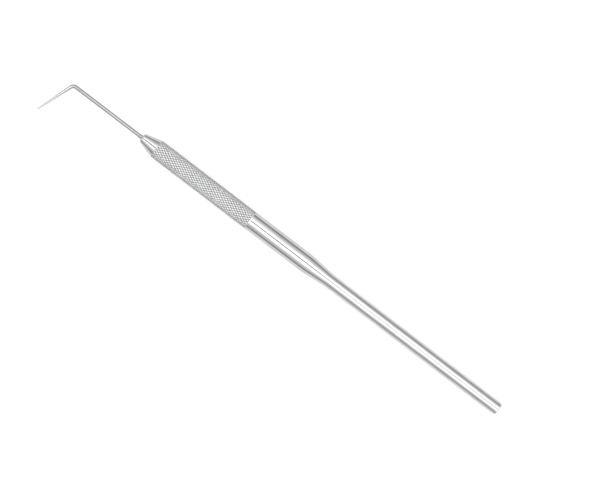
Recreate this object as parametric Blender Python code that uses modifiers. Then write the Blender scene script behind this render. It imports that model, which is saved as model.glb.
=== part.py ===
"""Bent-point scriber: a bright steel needle, bent near its end, brazed into a turned and knurled bar.

World frame, in metres: +X runs along the handle from the nose to the butt and +Z is up. The
scriber lies on the plane z = 0, on its knurl and on the needle's point, and the origin is on that
plane, in the middle of the tool's length and width.

Every piece is modelled in the tool's own frame: +Z runs forward along the handle's axis, z = 0 is
the nose face, and the handle takes up negative z.
"""

from math import asin, atan2, cos, hypot, pi, radians, sin, tan

import bmesh
import bpy
from mathutils import Vector

MM = 0.001

# Needle: one wire, set in the nose, bent near its end and ground to a point
NEEDLE_DIAMETER = 1.2 * MM
NEEDLE_REACH = 25.9 * MM  # from the nose face to the corner of the bend
BEND_ANGLE = radians(69.6)
BEND_RADIUS = 1.4 * MM  # on the wire's centreline
TIP_LENGTH = 13.8 * MM  # from the corner of the bend to the point
TAPER_END_DIAMETER = 0.42 * MM  # where the long taper from the bend meets the short point
POINT_LENGTH = 0.8 * MM
POINT_DIAMETER = 0.1 * MM
SEAT_CHAMFER = 0.15 * MM  # on the end that goes into the handle

# Brazed joint between the needle and the handle
SEAT_DEPTH = 11.5 * MM  # how far the needle goes into the handle
SEAT_END_SPACE = 0.5 * MM  # left under the needle's end
BRAZE_WALL = 0.1 * MM
BRAZE_FILLET = 0.3 * MM  # radius of the bead at the mouth of the bore
BRAZE_LIP = 0.03 * MM  # thickness of the bead's thin edge on the wire
FIT_GAP = 0.02 * MM  # kept between neighbouring pieces
DRILL_POINT_ANGLE = radians(118)

# Handle, from the nose backwards
HANDLE_LENGTH = 134.2 * MM
NOSE_WALL = 0.335 * MM  # width of the flat ring around the bore
NOSE_ROUND = 0.5 * MM
NOSE_HALF_ANGLE = radians(14.5)
KNURL_LENGTH = 35.0 * MM
KNURL_RAISE = 0.1 * MM  # how far rolling lifts the crests above the plain barrel
KNURL_DEPTH = 0.18 * MM  # from the crests to the bottom of the grooves
KNURL_PITCH_ALONG = 1.37 * MM  # length of one diamond along the handle
KNURL_PITCH_AROUND = 0.9 * MM  # width of one diamond around the handle
BARREL_LENGTH = 21.5 * MM
BARREL_DIAMETER = 5.8 * MM
WAIST_LENGTH = 7.7 * MM  # the taper from the barrel to the tail
WAIST_BLEND = 15.0 * MM  # radius where the taper runs into its neighbours
TAIL_DIAMETER = 4.23 * MM  # at the waist
BUTT_DIAMETER = 3.93 * MM
BUTT_CHAMFER = 0.3 * MM

# Fineness of the curved surfaces
ARC_STEP = radians(12)
BEND_STEP = radians(7)
WIRE_BEVEL_RESOLUTION = 4
MERGE_DISTANCE = 0.001 * MM
SMOOTH_UNDER = radians(20)

# Worked out from the sizes above
NEEDLE_RADIUS = NEEDLE_DIAMETER / 2
BRAZE_INNER_RADIUS = NEEDLE_RADIUS + FIT_GAP
BRAZE_OUTER_RADIUS = BRAZE_INNER_RADIUS + BRAZE_WALL
BORE_RADIUS = BRAZE_OUTER_RADIUS + FIT_GAP
BORE_DEPTH = SEAT_DEPTH + SEAT_END_SPACE
NOSE_CORNER_RADIUS = BORE_RADIUS + NOSE_WALL + NOSE_ROUND * tan((pi / 2 - NOSE_HALF_ANGLE) / 2)
BARREL_RADIUS = BARREL_DIAMETER / 2
CREST_RADIUS = BARREL_RADIUS + KNURL_RAISE
GROOVE_RADIUS = CREST_RADIUS - KNURL_DEPTH
NOSE_LENGTH = (CREST_RADIUS - NOSE_CORNER_RADIUS) / tan(NOSE_HALF_ANGLE)
KNURL_FRONT = (GROOVE_RADIUS - NOSE_CORNER_RADIUS) / tan(NOSE_HALF_ANGLE)
KNURL_END = NOSE_LENGTH + KNURL_LENGTH
BARREL_END = KNURL_END + BARREL_LENGTH
WAIST_END = BARREL_END + WAIST_LENGTH
KNURL_STARTS = round(2 * pi * CREST_RADIUS / KNURL_PITCH_AROUND)
KNURL_COLUMNS = 2 * KNURL_STARTS
KNURL_ROWS = round((KNURL_END - KNURL_FRONT) / (KNURL_PITCH_ALONG / 2))
KNURL_ROW_PITCH = (KNURL_END - KNURL_FRONT) / KNURL_ROWS

# Where the tool lies: it rolls about the handle's axis until the needle's point touches z = 0
POINT_AHEAD = NEEDLE_REACH + TIP_LENGTH * cos(BEND_ANGLE)
POINT_ASIDE = TIP_LENGTH * sin(BEND_ANGLE)
KNURL_PHASE = pi / KNURL_COLUMNS  # the knurl rests on two of its lines of crests, side by side
AXIS_HEIGHT = CREST_RADIUS * cos(KNURL_PHASE)
ROLL = asin((AXIS_HEIGHT - POINT_DIAMETER / 2) / POINT_ASIDE)
SPREAD_ASIDE = POINT_ASIDE * cos(ROLL)


def clear_scene():
    for old in list(bpy.data.objects):
        bpy.data.objects.remove(old, do_unlink=True)


def metal(name, colour, roughness):
    material = bpy.data.materials.new(name)
    material.use_nodes = True
    shader = material.node_tree.nodes["Principled BSDF"]
    shader.inputs["Base Color"].default_value = (*colour, 1)
    shader.inputs["Metallic"].default_value = 1
    shader.inputs["Roughness"].default_value = roughness
    return material


def rounded(before, corner, after, radius, step):
    """Points of the arc that rounds off a corner between two straight stretches."""
    into, out = (corner - before).normalized(), (after - corner).normalized()
    turn = into.angle(out)
    tangent = radius * tan(turn / 2)
    towards_centre = (out - into).normalized()
    centre = corner + towards_centre * radius / cos(turn / 2)
    start = corner - into * tangent - centre
    pieces = max(2, round(turn / step))
    quarter = into * radius
    angles = [turn * piece / pieces for piece in range(pieces + 1)]
    return [centre + start * cos(angle) + quarter * sin(angle) for angle in angles]


def outline(corners):
    """A profile's points, from corners given as (distance from the axis, z, rounding radius)."""
    places = [Vector((radius, z)) for radius, z, _ in corners]
    points = []
    for index, (_, _, rounding) in enumerate(corners):
        if rounding:
            before, corner, after = places[index - 1 : index + 2]
            points += rounded(before, corner, after, rounding, ARC_STEP)
        else:
            points.append(places[index])
    return points


def turned_mesh(name, points, closed=False):
    """The solid that a profile sweeps out around the tool's axis."""
    mesh = bpy.data.meshes.new(name)
    edges = [(index, index + 1) for index in range(len(points) - 1)]
    if closed:
        edges.append((len(points) - 1, 0))
    mesh.from_pydata([(point.x, 0, point.y) for point in points], edges, [])
    blank = bpy.data.objects.new(name, mesh)
    bpy.context.scene.collection.objects.link(blank)
    turn = blank.modifiers.new("Turn", "SCREW")
    turn.steps = KNURL_COLUMNS
    turn.render_steps = KNURL_COLUMNS
    turn.use_merge_vertices = True
    turn.merge_threshold = MERGE_DISTANCE
    bpy.context.view_layer.update()
    evaluated = blank.evaluated_get(bpy.context.evaluated_depsgraph_get())
    solid = bpy.data.meshes.new_from_object(evaluated)
    bpy.data.objects.remove(blank)
    bpy.data.meshes.remove(mesh)
    solid.name = name
    solid.shade_smooth()
    solid.set_sharp_from_angle(angle=SMOOTH_UNDER)
    return solid


def place(name, data, material, collection, axis):
    data.materials.append(material)
    piece = bpy.data.objects.new(name, data)
    collection.objects.link(piece)
    piece.parent = axis
    return piece


def handle_outline():
    """From the bottom of the bore, out over the nose, and back along the outside to the butt."""
    drill_point = BORE_RADIUS / tan(DRILL_POINT_ANGLE / 2)
    bore = [(0, -BORE_DEPTH - drill_point, 0), (BORE_RADIUS, -BORE_DEPTH, 0), (BORE_RADIUS, 0, 0)]
    nose = [(NOSE_CORNER_RADIUS, 0, NOSE_ROUND)]
    knurl = [(GROOVE_RADIUS, -KNURL_FRONT - row * KNURL_ROW_PITCH, 0) for row in range(KNURL_ROWS)]
    barrel = [(BARREL_RADIUS, -KNURL_END, 0), (BARREL_RADIUS, -BARREL_END, WAIST_BLEND)]
    tail = [(TAIL_DIAMETER / 2, -WAIST_END, WAIST_BLEND)]
    butt_radius = BUTT_DIAMETER / 2
    butt = [
        (butt_radius, -HANDLE_LENGTH + BUTT_CHAMFER, 0),
        (butt_radius - BUTT_CHAMFER, -HANDLE_LENGTH, 0),
        (0, -HANDLE_LENGTH, 0),
    ]
    return outline(bore + nose + knurl + barrel + tail + butt)


def knurl_radius(row, groove):
    """The nose cone takes off the first crests, and the last row runs out on the plain barrel."""
    if row == KNURL_ROWS:
        return BARREL_RADIUS
    cone_radius = GROOVE_RADIUS + row * KNURL_ROW_PITCH * tan(NOSE_HALF_ANGLE)
    return min(GROOVE_RADIUS if groove else CREST_RADIUS, cone_radius)


def roll_knurl(mesh):
    """Raise the crests between two crossing sets of spiral grooves.

    The grooves cross at every second point of the turned grid, and the points between the
    crossings are the tips of the diamonds.
    """
    solid = bmesh.new()
    solid.from_mesh(mesh)
    grooves = set()
    rolled = set()
    for point in solid.verts:
        radius = hypot(point.co.x, point.co.y)
        row = round((-point.co.z - KNURL_FRONT) / KNURL_ROW_PITCH)
        if radius < GROOVE_RADIUS - MERGE_DISTANCE or not 0 <= row <= KNURL_ROWS:
            continue
        if point.co.z < -KNURL_END - MERGE_DISTANCE:
            continue
        column = round(atan2(point.co.y, point.co.x) / (2 * pi) * KNURL_COLUMNS)
        rolled.add(point)
        if (row + column) % 2 == 0:
            grooves.add(point)
        point.co.xy *= knurl_radius(row, point in grooves) / radius
    for face in [face for face in solid.faces if rolled.issuperset(face.verts)]:
        low = [point for point in face.verts if point in grooves]
        bmesh.utils.face_split(face, low[0], low[1])
    solid.to_mesh(mesh)
    solid.free()
    mesh.set_sharp_from_angle(angle=SMOOTH_UNDER)


def make_handle(collection, axis):
    mesh = turned_mesh("handle", handle_outline())
    roll_knurl(mesh)
    handle_steel = metal("handle_steel", (0.72, 0.73, 0.74), 0.22)
    handle = place("handle", mesh, handle_steel, collection, axis)
    handle.rotation_euler.z = KNURL_PHASE


def make_needle(collection, axis):
    """The wire lies in its own XZ plane, bending towards +X, and is then turned to its roll."""
    seat_end = Vector((0, -SEAT_DEPTH))
    chamfer_end = Vector((0, -SEAT_DEPTH + SEAT_CHAMFER))
    corner = Vector((0, NEEDLE_REACH))
    point = Vector((POINT_ASIDE, POINT_AHEAD))
    taper_end = point + (corner - point).normalized() * POINT_LENGTH
    bend = rounded(chamfer_end, corner, point, BEND_RADIUS, BEND_STEP)
    route = [seat_end, chamfer_end, *bend, taper_end, point]
    radii = [NEEDLE_RADIUS] * len(route)
    radii[0] = NEEDLE_RADIUS - SEAT_CHAMFER
    radii[-2] = TAPER_END_DIAMETER / 2
    radii[-1] = POINT_DIAMETER / 2

    wire = bpy.data.curves.new("needle", "CURVE")
    wire.dimensions = "3D"
    wire.bevel_depth = NEEDLE_RADIUS
    wire.bevel_resolution = WIRE_BEVEL_RESOLUTION
    wire.use_fill_caps = True
    spline = wire.splines.new("POLY")
    spline.points.add(len(route) - 1)
    for control, place_on_route, radius in zip(spline.points, route, radii):
        control.co = (place_on_route.x, 0, place_on_route.y, 1)
        control.radius = radius / NEEDLE_RADIUS
    needle_steel = metal("needle_steel", (0.66, 0.67, 0.69), 0.16)
    needle = place("needle", wire, needle_steel, collection, axis)
    needle.rotation_euler.z = -pi / 2 - ROLL


def make_braze_joint(collection, axis):
    """A thin sleeve of filler around the seated needle, with a hollow bead at the mouth."""
    bead_inner = BRAZE_INNER_RADIUS + BRAZE_LIP
    centre = Vector((bead_inner + BRAZE_FILLET, FIT_GAP + BRAZE_FILLET))
    pieces = round((pi / 2) / ARC_STEP)
    angles = [pi / 2 * piece / pieces for piece in range(pieces + 1)]
    bead = [centre - BRAZE_FILLET * Vector((cos(angle), sin(angle))) for angle in angles]
    sleeve = [
        Vector((BRAZE_OUTER_RADIUS, FIT_GAP)),
        Vector((BRAZE_OUTER_RADIUS, -SEAT_DEPTH)),
        Vector((BRAZE_INNER_RADIUS, -SEAT_DEPTH)),
        Vector((BRAZE_INNER_RADIUS, FIT_GAP + BRAZE_FILLET)),
    ]
    mesh = turned_mesh("braze_joint", bead + sleeve, closed=True)
    filler = metal("braze_filler", (0.80, 0.76, 0.66), 0.3)
    place("braze_joint", mesh, filler, collection, axis)


def make_axis(collection):
    """An empty that turns the tool's forward +Z to the world's -X, at the handle's height."""
    axis = bpy.data.objects.new("tool_axis", None)
    collection.objects.link(axis)
    axis.rotation_euler = (0, -pi / 2, 0)
    middle_along = (HANDLE_LENGTH - POINT_AHEAD) / 2
    middle_across = (CREST_RADIUS - SPREAD_ASIDE) / 2
    axis.location = (-middle_along, -middle_across, AXIS_HEIGHT)
    return axis


def main():
    clear_scene()
    scriber = bpy.data.collections.new("scriber")
    bpy.context.scene.collection.children.link(scriber)
    axis = make_axis(scriber)
    make_handle(scriber, axis)
    make_needle(scriber, axis)
    make_braze_joint(scriber, axis)


main()
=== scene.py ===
"""The bent-point scriber's looks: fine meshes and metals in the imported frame, on a white table.

Everything is in metres and in the frame's own axes: +X runs from the nose to the butt and +Z is up.
A place on the handle is its station, which is its distance behind the nose face, and its distance
from the handle's axis. Angles around the handle start at the top and run towards +Y.
"""

from math import asin, cos, pi, radians, sin, tan

import bpy
import numpy as np
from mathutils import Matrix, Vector


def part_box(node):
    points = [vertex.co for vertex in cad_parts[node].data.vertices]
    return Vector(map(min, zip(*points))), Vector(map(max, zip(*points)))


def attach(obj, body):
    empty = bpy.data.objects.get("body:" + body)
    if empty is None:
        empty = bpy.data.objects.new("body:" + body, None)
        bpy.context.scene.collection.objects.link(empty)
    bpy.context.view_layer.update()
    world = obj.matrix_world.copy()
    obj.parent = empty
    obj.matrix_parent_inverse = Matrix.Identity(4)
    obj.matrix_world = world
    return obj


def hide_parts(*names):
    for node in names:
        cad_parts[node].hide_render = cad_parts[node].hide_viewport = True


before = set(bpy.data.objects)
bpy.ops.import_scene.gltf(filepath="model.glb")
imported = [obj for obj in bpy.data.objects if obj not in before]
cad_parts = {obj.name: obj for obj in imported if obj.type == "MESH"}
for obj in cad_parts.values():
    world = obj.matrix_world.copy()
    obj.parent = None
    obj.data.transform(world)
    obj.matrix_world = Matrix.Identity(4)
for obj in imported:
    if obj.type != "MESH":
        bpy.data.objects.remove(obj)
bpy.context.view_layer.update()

MM = 0.001
MICRON = 0.000001

# Handle
BORE_RADIUS = 0.74 * MM
BORE_DEPTH = 12.0 * MM
BORE_EDGE_ROUND = 0.04 * MM
DRILL_POINT_ANGLE = radians(118)
NOSE_WALL = 0.335 * MM
NOSE_ROUND = 0.5 * MM
NOSE_HALF_ANGLE = radians(14.5)
KNURL_LENGTH = 35.0 * MM
KNURL_DEPTH = 0.18 * MM
KNURL_RUN_OUT = 0.35 * MM  # where the knurl fades into the plain barrel
DIAMONDS_AROUND = 21
DIAMONDS_ALONG = 26
BARREL_LENGTH = 21.5 * MM
BARREL_DIAMETER = 5.8 * MM
WAIST_LENGTH = 7.7 * MM
WAIST_BLEND = 15.0 * MM
TAIL_DIAMETER = 4.23 * MM
BUTT_DIAMETER = 3.93 * MM
BUTT_CHAMFER = 0.3 * MM
BUTT_EDGE_ROUND = 0.05 * MM

# Needle and its brazed joint
NEEDLE_DIAMETER = 1.2 * MM
NEEDLE_REACH = 25.9 * MM
BEND_ANGLE = radians(69.6)
BEND_RADIUS = 1.4 * MM
TIP_LENGTH = 13.8 * MM
TAPER_END_DIAMETER = 0.42 * MM
POINT_LENGTH = 0.8 * MM
POINT_DIAMETER = 0.1 * MM
SEAT_DEPTH = 11.5 * MM
SEAT_CHAMFER = 0.15 * MM
BRAZE_WALL = 0.1 * MM
BRAZE_FILLET = 0.3 * MM
BRAZE_LIP = 0.03 * MM
FIT_GAP = 0.02 * MM

# Fineness of the meshes
CELLS = 12  # mesh cells along and around one diamond of the knurl
COLUMNS = DIAMONDS_AROUND * CELLS
ARC_STEP = radians(4)
LEAST_ARC_PIECES = 3
WIRE_SIDES = 40
BRAZE_COLUMNS = 96
SMOOTH_UNDER = radians(50)

# Where the frame puts the handle
handle_low, handle_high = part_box("handle")
NOSE_X = handle_low.x
HANDLE_LENGTH = handle_high.x - handle_low.x
AXIS_Y = (handle_low.y + handle_high.y) / 2
AXIS_Z = (handle_low.z + handle_high.z) / 2

# Worked out from the sizes above. The crests are cut to half the handle's height in the frame,
# because it lies between two lines of them, and no fine crest may reach below the table.
CREST_RADIUS = (handle_high.z - handle_low.z) / 2
GROOVE_RADIUS = CREST_RADIUS - KNURL_DEPTH
BARREL_RADIUS = BARREL_DIAMETER / 2
NEEDLE_RADIUS = NEEDLE_DIAMETER / 2
NOSE_CORNER_RADIUS = BORE_RADIUS + NOSE_WALL + NOSE_ROUND * tan((pi / 2 - NOSE_HALF_ANGLE) / 2)
KNURL_FRONT = (GROOVE_RADIUS - NOSE_CORNER_RADIUS) / tan(NOSE_HALF_ANGLE)
KNURL_END = (CREST_RADIUS - NOSE_CORNER_RADIUS) / tan(NOSE_HALF_ANGLE) + KNURL_LENGTH
BARREL_END = KNURL_END + BARREL_LENGTH
WAIST_END = BARREL_END + WAIST_LENGTH
KNURL_ROWS = DIAMONDS_ALONG * CELLS
POINT_AHEAD = NEEDLE_REACH + TIP_LENGTH * cos(BEND_ANGLE)
POINT_ASIDE = TIP_LENGTH * sin(BEND_ANGLE)
ROLL = asin((AXIS_Z - POINT_DIAMETER / 2) / POINT_ASIDE)  # the needle's point touches the table


# ---------------------------------------------------------------- shapes

def rounded(before, corner, after, radius):
    """Points of the arc that rounds off a corner between two straight stretches."""
    into, out = (corner - before).normalized(), (after - corner).normalized()
    turn = into.angle(out)
    centre = corner + (out - into).normalized() * radius / cos(turn / 2)
    start = corner - into * radius * tan(turn / 2) - centre
    pieces = max(LEAST_ARC_PIECES, round(turn / ARC_STEP))
    angles = [turn * piece / pieces for piece in range(pieces + 1)]
    return [centre + start * cos(angle) + into * radius * sin(angle) for angle in angles]


def outline(corners):
    """A profile as (station, distance from the axis), from corners with a rounding each."""
    places = [Vector((station, radius)) for station, radius, _ in corners]
    points = []
    for index, (_, _, rounding) in enumerate(corners):
        if rounding:
            before, corner, after = places[index - 1 : index + 2]
            points += rounded(before, corner, after, rounding)
        else:
            points.append(places[index])
    return np.array(points)


def new_piece(name, places, faces, material):
    """A visible mesh that rides on the scriber's one body."""
    mesh = bpy.data.meshes.new(name)
    mesh.from_pydata(places.tolist(), [], faces)
    mesh.validate()
    mesh.shade_smooth()
    mesh.set_sharp_from_angle(angle=SMOOTH_UNDER)
    mesh.materials.append(material)
    piece = bpy.data.objects.new(name, mesh)
    bpy.context.scene.collection.objects.link(piece)
    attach(piece, "root")
    return piece


def store(piece, name, values):
    """Keeps one number or three for each vertex, for the material's nodes to read."""
    kind, field = ("FLOAT", "value") if values.ndim == 1 else ("FLOAT_VECTOR", "vector")
    attribute = piece.data.attributes.new(name, kind, "POINT")
    attribute.data.foreach_set(field, values.astype(np.float32).ravel())


def turned_places(stations, radii):
    """Vertices of a turned grid: radii has a row for each station and a column for each angle."""
    columns = radii.shape[1]
    angles = 2 * pi * (np.arange(columns) + CELLS / 4) / columns
    x = np.repeat(NOSE_X + stations[:, None], columns, axis=1)
    y = AXIS_Y + radii * np.sin(angles)
    z = AXIS_Z + radii * np.cos(angles)
    return np.stack([x, y, z], axis=2).reshape(-1, 3)


def ring_faces(first_row, last_row, columns, closed=False):
    """Four-sided faces between the neighbouring rings of a turned grid, seen from outside it."""
    neighbours = [(row, row + 1) for row in range(first_row, last_row)]
    if closed:
        neighbours.append((last_row, first_row))
    faces = []
    for near_row, far_row in neighbours:
        near, far = near_row * columns, far_row * columns
        for column in range(columns):
            after = (column + 1) % columns
            faces.append((near + column, far + column, far + after, near + after))
    return faces


# ---------------------------------------------------------------- handle

DOME_POWER = 2.3  # a higher power gives the diamonds flatter tops and steeper sides
UNEVEN_TILT = 0.09  # most slope that a diamond's top leans by, because no knurl rolls quite evenly
UNEVEN_SEED = 7


def knurl_share(row, column):
    """How far up a diamond's side a grid point lies: 0 in a groove, 1 at a diamond's middle."""
    forward, backward = (row + column) % CELLS, (row - column) % CELLS
    forward, backward = np.minimum(forward, CELLS - forward), np.minimum(backward, CELLS - backward)
    return np.minimum(forward, backward) / (CELLS / 2)


def knurl_height(share):
    """A diamond's domed height above its grooves, from 0 to 1."""
    return 1 - (1 - share) ** DOME_POWER


def diamond_lean(rows, columns, pitch_along, pitch_around):
    """How much each grid point rises or drops because its own diamond leans a little."""
    forward, backward = rows + columns, rows - columns
    along = (forward // CELLS + backward // CELLS) % (2 * DIAMONDS_ALONG)
    around = (forward // CELLS - backward // CELLS) % (2 * DIAMONDS_AROUND)
    lean_table_shape = (2, 2 * DIAMONDS_ALONG, 2 * DIAMONDS_AROUND)
    leans = np.random.default_rng(UNEVEN_SEED).uniform(-1, 1, lean_table_shape)
    from_middle_along = (forward % CELLS + backward % CELLS - CELLS) / 2 * pitch_along
    from_middle_around = (forward % CELLS - backward % CELLS) / 2 * pitch_around
    lean_along, lean_around = UNEVEN_TILT * leans[:, along, around]
    return lean_along * from_middle_along + lean_around * from_middle_around


def knurl_radii():
    """The knurl's stations, its radii, and how deep in a groove each grid point lies, from 0 to 1.

    The nose cone takes off its first crests, and it fades into the barrel.
    """
    rows, columns = np.meshgrid(np.arange(KNURL_ROWS), np.arange(COLUMNS), indexing="ij")
    row_pitch = (KNURL_END - KNURL_FRONT) / KNURL_ROWS
    stations = KNURL_FRONT + rows * row_pitch
    height = knurl_height(knurl_share(rows, columns))
    lean = diamond_lean(rows, columns, row_pitch, 2 * pi * CREST_RADIUS / COLUMNS)
    radii = np.minimum(GROOVE_RADIUS + KNURL_DEPTH * height + lean * height, CREST_RADIUS)
    fade = np.clip((stations - KNURL_END + KNURL_RUN_OUT) / KNURL_RUN_OUT, 0, 1)
    radii = radii + (BARREL_RADIUS - radii) * fade
    cone = GROOVE_RADIUS + (stations - KNURL_FRONT) * tan(NOSE_HALF_ANGLE)
    depth = np.where(cone < radii, 0, 1 - height) * (1 - fade)
    return stations[:, 0], np.minimum(radii, cone), depth


def knurl_faces(first_row):
    """Three-sided faces whose slanting edges run along the grooves."""
    faces = []
    for row in range(KNURL_ROWS - 1):
        near, far = (first_row + row) * COLUMNS, (first_row + row + 1) * COLUMNS
        for column in range(COLUMNS):
            after = (column + 1) % COLUMNS
            corners = near + column, far + column, far + after, near + after
            forward, backward = (row + column + 1) % CELLS, (row - column) % CELLS
            along_forward = min(forward, CELLS - forward) < min(backward, CELLS - backward)
            if along_forward:
                corners = corners[1:] + corners[:1]
            start, second, third, fourth = corners
            faces += [(start, second, third), (start, third, fourth)]
    return faces


def handle_outlines():
    """The profile ahead of the knurl, from the bottom of the bore, and behind it, to the butt."""
    butt_radius = BUTT_DIAMETER / 2
    front = outline([
        (BORE_DEPTH, BORE_RADIUS, 0),
        (0, BORE_RADIUS, BORE_EDGE_ROUND),
        (0, NOSE_CORNER_RADIUS, NOSE_ROUND),
        (KNURL_FRONT, GROOVE_RADIUS, 0),
    ])[:-1]
    back = outline([
        (KNURL_END, BARREL_RADIUS, 0),
        (BARREL_END, BARREL_RADIUS, WAIST_BLEND),
        (WAIST_END, TAIL_DIAMETER / 2, WAIST_BLEND),
        (HANDLE_LENGTH - BUTT_CHAMFER, butt_radius, BUTT_EDGE_ROUND),
        (HANDLE_LENGTH, butt_radius - BUTT_CHAMFER, BUTT_EDGE_ROUND),
        (HANDLE_LENGTH, 0, 0),
    ])[:-1]
    return front, back


def make_handle(material):
    front, back = handle_outlines()
    knurl_stations, knurled, knurl_depth = knurl_radii()
    stations = np.concatenate([front[:, 0], knurl_stations, back[:, 0]])
    plain = np.ones((1, COLUMNS))
    radii = np.concatenate([front[:, 1:] * plain, knurled, back[:, 1:] * plain])
    depth = np.concatenate([0 * front[:, 1:] * plain, knurl_depth, 0 * back[:, 1:] * plain])

    places = turned_places(stations, radii)
    bore_end = BORE_DEPTH + BORE_RADIUS / tan(DRILL_POINT_ANGLE / 2)
    tips = [(NOSE_X + bore_end, AXIS_Y, AXIS_Z), (NOSE_X + HANDLE_LENGTH, AXIS_Y, AXIS_Z)]
    places = np.concatenate([places, tips])
    drill_tip, butt_middle = len(places) - 2, len(places) - 1
    knurl_row = len(front)
    last_row = len(stations) - 1
    faces = ring_faces(0, knurl_row, COLUMNS)
    faces += knurl_faces(knurl_row)
    faces += ring_faces(knurl_row + KNURL_ROWS - 1, last_row, COLUMNS)
    for column in range(COLUMNS):
        after = (column + 1) % COLUMNS
        faces.append((drill_tip, column, after))
        faces.append((butt_middle, last_row * COLUMNS + after, last_row * COLUMNS + column))

    handle = new_piece("turned_handle", places, faces, material)
    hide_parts("handle")
    along = np.append(np.repeat(stations, COLUMNS), [bore_end, HANDLE_LENGTH])
    outward = np.append(radii.ravel(), [0, 0])
    store(handle, "turning", np.stack([along, outward, 0 * along], axis=1))
    store(handle, "groove", np.append(depth.ravel(), [0, 0]))


# ---------------------------------------------------------------- needle and joint

# Rows of the needle's mesh, from its seat to its point
SHANK_ROWS = 24
TAPER_ROWS = 30
POINT_ROWS = 8
POINT_END_ROWS = 5


def needle_route():
    """The wire's centreline in its bend's plane, as (ahead of the nose, aside), radii and point."""
    start, corner = Vector((-SEAT_DEPTH, 0)), Vector((NEEDLE_REACH, 0))
    point = Vector((POINT_AHEAD, POINT_ASIDE))
    bend = rounded(start, corner, point, BEND_RADIUS)
    forward = (point - corner).normalized()
    taper_end = point - forward * POINT_LENGTH
    end_radius = POINT_DIAMETER / 2
    end_middle = point - forward * end_radius
    route, radii = [start], [NEEDLE_RADIUS - SEAT_CHAMFER]

    def straight(first, last, first_radius, last_radius, rows):
        """Rows from just after one place up to and with another, along a cylinder or a cone."""
        for row in range(1, rows + 1):
            route.append(first.lerp(last, row / rows))
            radii.append(first_radius + (last_radius - first_radius) * row / rows)

    chamfer_end = start + Vector((SEAT_CHAMFER, 0))
    straight(start, chamfer_end, NEEDLE_RADIUS - SEAT_CHAMFER, NEEDLE_RADIUS, 1)
    straight(chamfer_end, bend[0], NEEDLE_RADIUS, NEEDLE_RADIUS, SHANK_ROWS)
    route += bend[1:]
    radii += [NEEDLE_RADIUS] * (len(bend) - 1)
    straight(bend[-1], taper_end, NEEDLE_RADIUS, TAPER_END_DIAMETER / 2, TAPER_ROWS)
    straight(taper_end, end_middle, TAPER_END_DIAMETER / 2, end_radius, POINT_ROWS)
    for row in range(1, POINT_END_ROWS):
        angle = pi / 2 * row / POINT_END_ROWS
        route.append(end_middle + forward * end_radius * sin(angle))
        radii.append(end_radius * cos(angle))
    return route, radii, point


def bend_plane_to_frame(ahead, aside, above):
    """The plane of the bend leans down from the handle's axis to the table, towards -Y."""
    x = NOSE_X - ahead
    y = AXIS_Y - aside * cos(ROLL) - above * sin(ROLL)
    z = AXIS_Z - aside * sin(ROLL) + above * cos(ROLL)
    return np.stack([x, y, z], axis=-1).reshape(-1, 3)


def make_needle(material):
    route, radii, point = needle_route()
    centres = np.array(route)
    steps = np.diff(centres, axis=0)
    lengths = np.linalg.norm(steps, axis=1)
    headings = steps / lengths[:, None]
    tangents = np.concatenate([headings[:1], headings[1:] + headings[:-1], headings[-1:]])
    tangents /= np.linalg.norm(tangents, axis=1)[:, None]

    angles = 2 * pi * np.arange(WIRE_SIDES) / WIRE_SIDES
    radii = np.array(radii)[:, None]
    ahead = centres[:, :1] - tangents[:, 1:] * radii * np.cos(angles)
    aside = centres[:, 1:] + tangents[:, :1] * radii * np.cos(angles)
    above = radii * np.sin(angles)
    places = bend_plane_to_frame(ahead, aside, above)
    ends = np.array([[-SEAT_DEPTH, 0], [point.x, point.y]])
    places = np.concatenate([places, bend_plane_to_frame(ends[:, 0], ends[:, 1], np.zeros(2))])
    seat_end, tip = len(places) - 2, len(places) - 1
    last_ring = (len(route) - 1) * WIRE_SIDES
    faces = ring_faces(0, len(route) - 1, WIRE_SIDES)
    for side in range(WIRE_SIDES):
        after = (side + 1) % WIRE_SIDES
        faces.append((seat_end, side, after))
        faces.append((tip, last_ring + after, last_ring + side))
    faces = [tuple(reversed(face)) for face in faces]  # its rows run towards -X, against the handle's

    needle = new_piece("ground_needle", places, faces, material)
    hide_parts("needle")
    travelled = np.concatenate([[0], np.cumsum(lengths)])
    to_point = travelled[-1] - travelled
    along = np.append(np.repeat(to_point, WIRE_SIDES), [to_point[0], 0])
    around = np.append(np.tile(np.cos(angles), len(route)), [0, 0])
    height = np.append(np.tile(np.sin(angles), len(route)), [0, 0])
    store(needle, "wire", np.stack([along, around * NEEDLE_RADIUS, height * NEEDLE_RADIUS], axis=1))
    store(needle, "to_point", along)


BEAD_WAVES = (
    # waves around the bead, where they start, and their share of its unevenness
    (3, 0.4, 0.5),
    (5, 2.1, 0.3),
    (8, 4.0, 0.2),
)
BEAD_UNEVENNESS = 0.03 * MM


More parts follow.
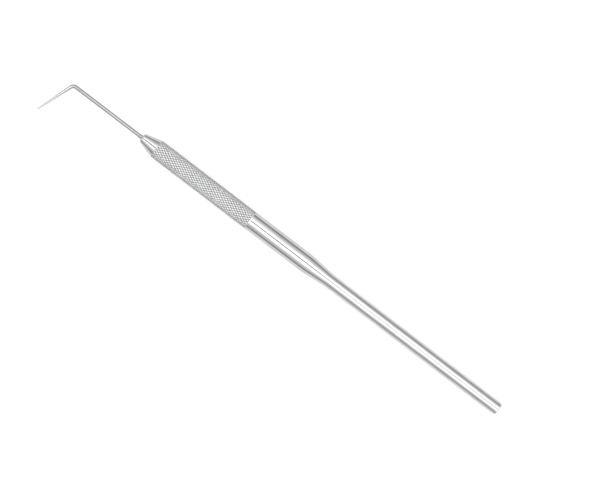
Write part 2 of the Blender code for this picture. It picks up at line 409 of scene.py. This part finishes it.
def make_braze_joint(material):
    """The filler's sleeve around the seated needle and the slightly uneven bead at its mouth."""
    inner = NEEDLE_RADIUS + FIT_GAP
    outer = inner + BRAZE_WALL
    centre_radius = inner + BRAZE_LIP + BRAZE_FILLET
    pieces = round(pi / 2 / ARC_STEP)
    angles = [pi / 2 * piece / pieces for piece in range(pieces + 1)]
    bead = [(-FIT_GAP - BRAZE_FILLET * (1 - sin(angle)), centre_radius - BRAZE_FILLET * cos(angle))
            for angle in angles]
    sleeve = [
        (-FIT_GAP, outer),
        (SEAT_DEPTH, outer),
        (SEAT_DEPTH, inner),
        (-FIT_GAP - BRAZE_FILLET, inner),
    ]
    profile = np.array(bead + sleeve)

    around = 2 * pi * np.arange(BRAZE_COLUMNS) / BRAZE_COLUMNS
    waves = sum(share * np.sin(count * around + start) for count, start, share in BEAD_WAVES)
    radii = np.repeat(profile[:, 1:], BRAZE_COLUMNS, axis=1)
    filled = np.sin(pi * np.arange(len(bead)) / (len(bead) - 1))
    radii[: len(bead)] += BEAD_UNEVENNESS * filled[:, None] * (waves - waves.min()) / np.ptp(waves)
    places = turned_places(profile[:, 0], radii)
    faces = ring_faces(0, len(profile) - 1, BRAZE_COLUMNS, closed=True)
    joint = new_piece("braze_bead", places, faces, material)
    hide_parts("braze_joint")


# ---------------------------------------------------------------- node trees

class Nodes:
    """A node tree, with short calls for the nodes that the metals and the studio share."""

    def __init__(self, owner):
        owner.use_nodes = True
        self.tree = owner.node_tree

    def add(self, kind, **settings):
        node = self.tree.nodes.new(kind)
        for name, value in settings.items():
            setattr(node, name, value)
        return node

    def link(self, source, target):
        self.tree.links.new(source, target)

    def place(self):
        """Coordinates in metres, in the frame's axes."""
        return self.add("ShaderNodeTexCoord").outputs["Object"]

    def kept(self, name, output):
        """What a mesh keeps for each vertex under that name."""
        return self.add("ShaderNodeAttribute", attribute_name=name).outputs[output]

    def noise(self, place, waves, detail=2):
        """Noise with its own number of waves in a metre along each axis."""
        stretch = self.add("ShaderNodeVectorMath", operation="MULTIPLY")
        stretch.inputs[1].default_value = waves
        self.link(place, stretch.inputs[0])
        noise = self.add("ShaderNodeTexNoise")
        noise.inputs["Scale"].default_value = 1.0
        noise.inputs["Detail"].default_value = detail
        noise.inputs["Roughness"].default_value = NOISE_ROUGHNESS
        self.link(stretch.outputs[0], noise.inputs["Vector"])
        return noise.outputs["Fac"]

    def remap(self, value, span, new_span):
        """A value between two bounds, spread smoothly over two others."""
        remap = self.add("ShaderNodeMapRange", interpolation_type="SMOOTHSTEP")
        for name, bound in zip(("From Min", "From Max", "To Min", "To Max"), (*span, *new_span)):
            remap.inputs[name].default_value = bound
        self.link(value, remap.inputs["Value"])
        return remap.outputs["Result"]

    def math(self, operation, *values):
        node = self.add("ShaderNodeMath", operation=operation)
        for socket, value in zip(node.inputs, values):
            if isinstance(value, (int, float)):
                socket.default_value = value
            else:
                self.link(value, socket)
        return node.outputs[0]

    def blend(self, share, first, second):
        """A colour between two: each is a colour, or a node's output."""
        mix = self.add("ShaderNodeMix", data_type="RGBA")
        self.link(share, mix.inputs["Factor"])
        for name, colour in (("A", first), ("B", second)):
            socket = [found for found in mix.inputs if found.name == name and found.type == "RGBA"][0]
            if isinstance(colour, tuple):
                socket.default_value = (*colour, 1)
            else:
                self.link(colour, socket)
        return [found for found in mix.outputs if found.type == "RGBA"][0]

    def bump(self, height, depth, below=None):
        """Relief of that depth, on top of the relief below it."""
        bump = self.add("ShaderNodeBump")
        bump.inputs["Strength"].default_value = 1.0
        bump.inputs["Distance"].default_value = depth
        self.link(height, bump.inputs["Height"])
        if below is not None:
            self.link(below, bump.inputs["Normal"])
        return bump.outputs["Normal"]


class Metal(Nodes):
    """A metal's material."""

    def __init__(self, name):
        self.material = bpy.data.materials.new(name)
        super().__init__(self.material)

    def finish(self, colour, roughness, normal):
        shader = self.tree.nodes["Principled BSDF"]
        shader.inputs["Metallic"].default_value = 1.0
        self.link(colour, shader.inputs["Base Color"])
        self.link(roughness, shader.inputs["Roughness"])
        self.link(normal, shader.inputs["Normal"])
        return self.material


# ---------------------------------------------------------------- materials

NOISE_ROUGHNESS = 0.55
NONE_TO_FULL = (0, 1)

# The bar. Its noises have so many waves in a metre, along the handle and then across it or outward.
STEEL_BRIGHT = (0.98, 0.98, 0.985)
STEEL_DULL = (0.92, 0.925, 0.93)
# Nearly black in the knurl's grooves: partly residue, partly painted shade
GROOVE_RESIDUE_AND_SHADE = (0.05, 0.05, 0.055)
STEEL_CLOUD_WAVES = (180, 260, 260)
POLISHING_LINE_WAVES = (260, 9000, 9000)
RING_WAVES = (16000, 16000, 0)
WIDE_RING_WAVES = (1100, 1500, 0)
CLOUD_SPAN = (0.3, 0.7)
LINE_SPAN = (0.45, 0.75)
RING_SPAN = (0.5, 0.8)
# how deep in a groove the painted shade and residue start and become full
GROOVE_RESIDUE_AND_SHADE_SPAN = (0.6, 1.0)
DULL_GROOVE_SPAN = (0.2, 1.0)
STEEL_ROUGHNESS = (0.08, 0.12)
LINE_ROUGHNESS = (0, 0.06)
RING_ROUGHNESS = (0, 0.05)
GROOVE_ROUGHNESS = (0, 0.08)
RING_RELIEF = 0.5 * MICRON
WIDE_RING_RELIEF = 1.0 * MICRON
LINE_RELIEF = 0.3 * MICRON


def turned_steel():
    """Bright stainless bar: turning rings, lines of polishing, soft clouding, rougher knurl grooves
    painted nearly black, partly residue and partly painted shade.
    """
    nodes = Metal("bright_turned_stainless")
    place = nodes.place()
    turning = nodes.kept("turning", "Vector")
    groove = nodes.kept("groove", "Fac")
    clouds = nodes.noise(place, STEEL_CLOUD_WAVES)
    rings = nodes.noise(turning, RING_WAVES)
    wide_rings = nodes.noise(turning, WIDE_RING_WAVES)
    lines = nodes.noise(place, POLISHING_LINE_WAVES)

    colour = nodes.blend(nodes.remap(clouds, CLOUD_SPAN, NONE_TO_FULL), STEEL_BRIGHT, STEEL_DULL)
    # The grooves are painted nearly black: partly residue, partly painted shade.
    colour = nodes.blend(nodes.remap(groove, GROOVE_RESIDUE_AND_SHADE_SPAN, NONE_TO_FULL), colour, GROOVE_RESIDUE_AND_SHADE)
    roughness = nodes.remap(clouds, CLOUD_SPAN, STEEL_ROUGHNESS)
    for cause, span, added in (
        (lines, LINE_SPAN, LINE_ROUGHNESS),
        (rings, RING_SPAN, RING_ROUGHNESS),
        (groove, DULL_GROOVE_SPAN, GROOVE_ROUGHNESS),
    ):
        roughness = nodes.math("ADD", roughness, nodes.remap(cause, span, added))
    relief = nodes.bump(rings, RING_RELIEF)
    relief = nodes.bump(wide_rings, WIDE_RING_RELIEF, relief)
    relief = nodes.bump(lines, LINE_RELIEF, relief)
    return nodes.finish(colour, roughness, relief)


# The needle. Its noises have so many waves in a metre, along the wire and then across it.
GRINDING_START = TIP_LENGTH - 1.0 * MM  # distance from the point where the ground taper starts
GRINDING_BLEND = 1.2 * MM
WIRE_BRIGHT = (0.67, 0.67, 0.68)
WIRE_DULL = (0.51, 0.515, 0.525)
WIRE_GROUND = (0.90, 0.90, 0.905)
DRAWN_LINE_WAVES = (150, 12000, 12000)
WIRE_CLOUD_WAVES = (500, 900, 900)
GRINDING_WAVES = (22000, 1500, 1500)
DRAWN_LINE_SPAN = (0.35, 0.7)
GROUND_PATCH_SPAN = (0.2, 0.6)
GROUND_PATCHES = (0.6, 1)
DRAWN_ROUGHNESS = (0.08, 0.15)
GROUND_ROUGHNESS = 0.08
WIRE_CLOUD_ROUGHNESS = (0, 0.04)
DRAWN_LINE_RELIEF = 0.4 * MICRON
GRINDING_RELIEF = 0.8 * MICRON


def wire_steel():
    """Drawn wire with fine lines along it, and fine grinding rings from the bend to the point."""
    nodes = Metal("drawn_and_ground_steel")
    wire = nodes.kept("wire", "Vector")
    to_point = nodes.kept("to_point", "Fac")
    ground = nodes.remap(to_point, (GRINDING_START, GRINDING_START + GRINDING_BLEND), (1, 0))
    drawn_lines = nodes.noise(wire, DRAWN_LINE_WAVES)
    clouds = nodes.noise(wire, WIRE_CLOUD_WAVES)
    grinding = nodes.noise(wire, GRINDING_WAVES)

    dull = nodes.remap(drawn_lines, DRAWN_LINE_SPAN, NONE_TO_FULL)
    patches = nodes.math("MULTIPLY", ground, nodes.remap(clouds, GROUND_PATCH_SPAN, GROUND_PATCHES))
    colour = nodes.blend(patches, nodes.blend(dull, WIRE_BRIGHT, WIRE_DULL), WIRE_GROUND)
    roughness = nodes.remap(drawn_lines, DRAWN_LINE_SPAN, DRAWN_ROUGHNESS)
    roughness = nodes.math("ADD", roughness, nodes.math("MULTIPLY", ground, GROUND_ROUGHNESS))
    roughness = nodes.math("ADD", roughness, nodes.remap(clouds, CLOUD_SPAN, WIRE_CLOUD_ROUGHNESS))
    lines_left = nodes.math("MULTIPLY", drawn_lines, nodes.math("SUBTRACT", 1.0, ground))
    relief = nodes.bump(lines_left, DRAWN_LINE_RELIEF)
    relief = nodes.bump(nodes.math("MULTIPLY", grinding, ground), GRINDING_RELIEF, relief)
    return nodes.finish(colour, roughness, relief)


# The filler metal
BRAZE_PALE = (0.84, 0.82, 0.77)
BRAZE_WARM = (0.78, 0.74, 0.66)
RIPPLE_WAVES = (4000, 2600, 2600)
RIPPLE_DETAIL = 3
STAIN_WAVES = (1500, 1500, 1500)
STAIN_SPAN = (0.35, 0.65)
BRAZE_ROUGHNESS = (0.22, 0.36)
RIPPLE_RELIEF = 6 * MICRON


def silver_braze():
    """Pale filler metal, cleaned bright, with the soft ripples that it froze with."""
    nodes = Metal("pale_silver_braze")
    place = nodes.place()
    ripples = nodes.noise(place, RIPPLE_WAVES, RIPPLE_DETAIL)
    stains = nodes.noise(place, STAIN_WAVES)
    colour = nodes.blend(nodes.remap(stains, STAIN_SPAN, NONE_TO_FULL), BRAZE_PALE, BRAZE_WARM)
    roughness = nodes.remap(ripples, CLOUD_SPAN, BRAZE_ROUGHNESS)
    return nodes.finish(colour, roughness, nodes.bump(ripples, RIPPLE_RELIEF))


# ---------------------------------------------------------------- studio

SKY_STOPS = (
    # height of the direction, from -1 straight down to 1 straight up, and its brightness
    (-1.00, 0.62),
    (-0.70, 0.64),
    (-0.36, 0.76),
    (-0.20, 0.64),
    (-0.06, 0.24),
    (0.09, 0.18),
    (0.22, 0.33),
    (0.36, 0.45),
    (0.50, 0.52),
    (0.66, 0.63),
    (0.74, 0.78),
    (0.82, 0.98),
    (0.90, 1.24),
    (0.96, 1.75),
)
SOFTBOX_SHORTENING = 0.25  # 0 for softboxes without end along X, 1 for round ones
GAP_HALF_WIDTH = 0.11  # of the dark gap between the two overhead softboxes, which runs along X
GAP_EDGE = 0.05
GAP_BRIGHTNESS = 0.10
OVERHEAD_SPAN = (0.3, 0.6)  # the gap fades in between these heights of the direction
FAR_SIDE_SPAN = (0.2, 1.0)
FAR_SIDE_BRIGHTNESS = 0.94  # at the horizon towards +Y, against 1 towards -Y


def sky_brightness(nodes, x, y, z):
    """The ramp of brightness from straight down to straight up, with its ends pulled out along X."""
    spread = nodes.math("MULTIPLY_ADD", nodes.math("MULTIPLY", x, x), SOFTBOX_SHORTENING,
                        nodes.math("MULTIPLY", y, y))
    length = nodes.math("SQRT", nodes.math("MULTIPLY_ADD", z, z, spread))
    height = nodes.math("DIVIDE", z, length)
    ramp = nodes.add("ShaderNodeValToRGB")
    ramp.color_ramp.interpolation = "EASE"
    nodes.link(nodes.math("MULTIPLY_ADD", height, 0.5, 0.5), ramp.inputs["Fac"])
    stops = ramp.color_ramp.elements
    while len(stops) < len(SKY_STOPS):
        stops.new(1.0)
    for stop, (stop_height, brightness) in zip(stops, SKY_STOPS):
        stop.position = (stop_height + 1) / 2
        stop.color = (brightness, brightness, brightness, 1)
    return ramp.outputs["Color"]


def make_world():
    """What the metal mirrors: two softboxes overhead with a gap between, darker walls, pale below."""
    world = bpy.data.worlds.new("studio")
    nodes = Nodes(world)
    parts = nodes.add("ShaderNodeSeparateXYZ")
    nodes.link(nodes.add("ShaderNodeTexCoord").outputs["Generated"], parts.inputs[0])
    x, y, z = parts.outputs["X"], parts.outputs["Y"], parts.outputs["Z"]

    gap_span = (GAP_HALF_WIDTH, GAP_HALF_WIDTH + GAP_EDGE)
    gap = nodes.remap(nodes.math("ABSOLUTE", y), gap_span, (GAP_BRIGHTNESS, 1))
    overhead = nodes.remap(z, OVERHEAD_SPAN, NONE_TO_FULL)
    gap = nodes.math("MULTIPLY", nodes.math("SUBTRACT", gap, 1.0), overhead)
    side = nodes.remap(y, FAR_SIDE_SPAN, (1, FAR_SIDE_BRIGHTNESS))
    strength = nodes.math("MULTIPLY", nodes.math("ADD", gap, 1.0), side)
    background = nodes.tree.nodes["Background"]
    nodes.link(sky_brightness(nodes, x, y, z), background.inputs["Color"])
    nodes.link(strength, background.inputs["Strength"])
    bpy.context.scene.world = world


FLOOR_SIZE = 6.0
FLOOR_COLOUR = (0.86, 0.86, 0.86)
FLOOR_ROUGHNESS = 0.9
FLOOR_SPECULAR = 0.1


def make_floor():
    bpy.ops.mesh.primitive_plane_add(size=FLOOR_SIZE)
    floor = bpy.context.object
    floor.name = "white_table"
    material = bpy.data.materials.new("white_table")
    material.use_nodes = True
    shader = material.node_tree.nodes["Principled BSDF"]
    shader.inputs["Base Color"].default_value = (*FLOOR_COLOUR, 1)
    shader.inputs["Roughness"].default_value = FLOOR_ROUGHNESS
    shader.inputs["Specular IOR Level"].default_value = FLOOR_SPECULAR
    floor.data.materials.append(material)
    floor.visible_glossy = False


DOME_RADIUS = 4.0
DOME_SEGMENTS = 48
DOME_RINGS = 24


def make_backdrop():
    """A white dome around the table, for the camera only."""
    bpy.ops.mesh.primitive_uv_sphere_add(
        radius=DOME_RADIUS, segments=DOME_SEGMENTS, ring_count=DOME_RINGS)
    dome = bpy.context.object
    dome.name = "white_backdrop"
    dome.data.shade_smooth()
    material = bpy.data.materials.new("white_backdrop")
    nodes = Nodes(material)
    nodes.tree.nodes.clear()
    glow = nodes.add("ShaderNodeEmission")
    nodes.link(glow.outputs[0], nodes.add("ShaderNodeOutputMaterial").inputs["Surface"])
    dome.data.materials.append(material)
    dome.visible_glossy = False
    dome.visible_diffuse = False
    dome.visible_shadow = False


LIGHT_HEIGHT = 1.2
LIGHT_SIZE = 2.4
LIGHT_POWER = 33.0


def make_light():
    """One large soft lamp overhead, which brings the table to white."""
    light = bpy.data.lights.new("overhead_softbox", "AREA")
    light.shape = "SQUARE"
    light.size = LIGHT_SIZE
    light.energy = LIGHT_POWER
    lamp = bpy.data.objects.new("overhead_softbox", light)
    bpy.context.scene.collection.objects.link(lamp)
    lamp.location = (0, 0, LIGHT_HEIGHT)
    lamp.visible_glossy = False
    lamp.visible_camera = False


VIEW_TURN = radians(37.36)  # the handle runs from upper left to lower right
VIEW_WIDTH = 179.7 * MM
VIEW_LENS = 135.0
VIEW_MIDDLE = Vector((6.21 * MM, 6.74 * MM))
SENSOR_WIDTH = 36.0
CLIP_START = 0.01


def make_camera():
    """Straight above the tool, with a long lens."""
    camera = bpy.data.cameras.new("camera")
    camera.lens = VIEW_LENS
    camera.sensor_width = SENSOR_WIDTH
    camera.clip_start = CLIP_START
    eye = bpy.data.objects.new("camera", camera)
    bpy.context.scene.collection.objects.link(eye)
    distance = VIEW_WIDTH * VIEW_LENS / SENSOR_WIDTH
    eye.location = (VIEW_MIDDLE.x, VIEW_MIDDLE.y, AXIS_Z + distance)
    eye.rotation_euler = (0, 0, VIEW_TURN)
    bpy.context.scene.camera = eye


make_camera()
make_world()
make_floor()
make_backdrop()
make_light()
bpy.context.scene.view_settings.view_transform = "Standard"

make_handle(turned_steel())
make_needle(wire_steel())
make_braze_joint(silver_braze())
